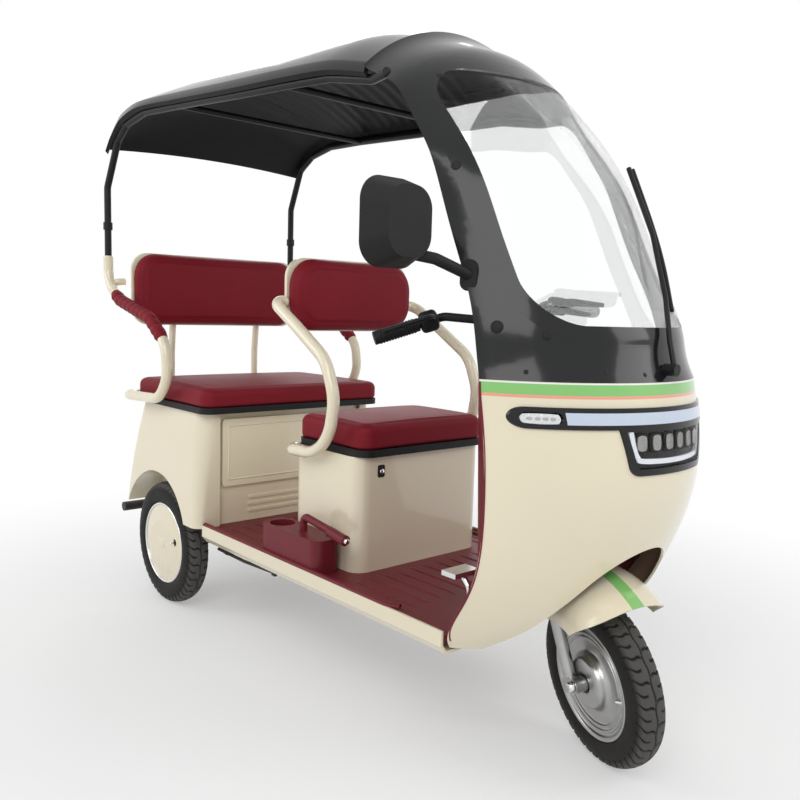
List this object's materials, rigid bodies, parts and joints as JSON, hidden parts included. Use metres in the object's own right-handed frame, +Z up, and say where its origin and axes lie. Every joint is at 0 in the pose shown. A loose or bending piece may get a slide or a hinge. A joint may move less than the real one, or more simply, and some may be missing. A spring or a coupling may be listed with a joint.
{
  "type": "electric mobility tricycle",
  "caption": "Roofed electric mobility tricycle with a driver's seat, a passenger bench, steerable front wheel, opening seat lids and a drop-down storage door.",
  "frame": {"origin": "on the ground under the middle of the rear axle", "axes": "+X forward, +Y to the driver's left, +Z up"},
  "size_m": [2.1198, 0.998, 1.8018],
  "materials": {
    "cream_paint": "gloss",
    "black_gloss": "gloss",
    "black_paint": "satin",
    "black_plastic": "matt",
    "maroon_plastic": "satin",
    "maroon_leather": "smooth",
    "clear_glass": "clear",
    "clear_lens": "clear",
    "mirror_glass": "polished",
    "red_lens": "gloss",
    "tyre": "matt",
    "wheel_cap": "gloss",
    "silver_alloy": "satin",
    "battery_case": "matt"
  },
  "bodies": {
    "chassis": {"underframe": "black_paint", "rear_axle": "black_paint", "leaf_springs": "black_paint", "floor_board": "maroon_plastic", "side_sills": "cream_paint", "front_apron": "cream_paint", "lamp_bezel": "black_gloss", "lamp_lenses": "clear_lens", "leg_shield": "maroon_plastic", "dash_panel": "black_plastic", "cowl_pillars": "black_gloss", "windscreen_border": "black_gloss", "windscreen": "clear_glass", "roof": "black_gloss", "roof_frame": "black_paint", "rear_arm_tubes": "cream_paint", "rear_pods": "cream_paint", "rear_box": "cream_paint", "rear_backrest_pad": "maroon_leather", "rear_backrest_frame": "black_paint", "driver_backrest_pad": "maroon_leather", "driver_backrest_frame": "black_paint", "driver_seat_box": "cream_paint", "battery_pack": "battery_case", "driver_arm_tubes": "cream_paint", "hand_brake_console": "maroon_plastic", "hand_brake_lever": "black_plastic", "brake_pedal": "black_plastic", "mirror_housing": "black_plastic", "mirror_glass": "mirror_glass", "wiper": "black_paint", "rear_bumper": "black_paint", "tail_lamps": "red_lens"},
    "steering": {"fork": "silver_alloy", "front_fender": "cream_paint", "handlebar": "black_paint", "grips": "black_plastic", "brake_levers": "silver_alloy"},
    "front_wheel": {"front_tyre": "tyre", "front_rim": "silver_alloy"},
    "right_rear_wheel": {"rear_tyre_right": "tyre", "rear_wheel_right": "wheel_cap"},
    "left_rear_wheel": {"rear_tyre_left": "tyre", "rear_wheel_left": "wheel_cap"},
    "driver_seat_lid": {"driver_seat_pan": "black_plastic", "driver_cushion": "maroon_leather"},
    "bench_lid": {"bench_pan": "black_plastic", "bench_cushion": "maroon_leather"},
    "storage_door": {"storage_door": "cream_paint"}
  },
  "joints": [
    {"name": "steering_turn", "type": "hinge", "parent": "chassis", "child": "steering", "pos_m": [1.53846, 0, 0.1888], "axis": [-0.3584, 0, 0.9336], "range_deg": [-14, 56]},
    {"name": "front_wheel_roll", "type": "hinge", "parent": "steering", "child": "front_wheel", "pos_m": [1.56417, -0.01057, 0.19867], "axis": [0.3346, 0.9336, 0.1284], "continuous": true},
    {"name": "right_rear_wheel_roll", "type": "hinge", "parent": "chassis", "child": "right_rear_wheel", "pos_m": [0, -0.316, 0.21], "axis": [0, 1, 0], "continuous": true},
    {"name": "left_rear_wheel_roll", "type": "hinge", "parent": "chassis", "child": "left_rear_wheel", "pos_m": [0, 0.316, 0.21], "axis": [0, 1, 0], "continuous": true},
    {"name": "driver_seat_hinge", "type": "hinge", "parent": "chassis", "child": "driver_seat_lid", "pos_m": [0.63, 0, 0.6403], "axis": [0, -1, 0], "range_deg": [0, 60]},
    {"name": "bench_hinge", "type": "hinge", "parent": "chassis", "child": "bench_lid", "pos_m": [-0.205, 0, 0.6903], "axis": [0, -1, 0], "range_deg": [0, 40]},
    {"name": "storage_door_hinge", "type": "hinge", "parent": "chassis", "child": "storage_door", "pos_m": [0.2733, 0, 0.446], "axis": [0, 1, 0], "range_deg": [0, 90]}
  ]
}
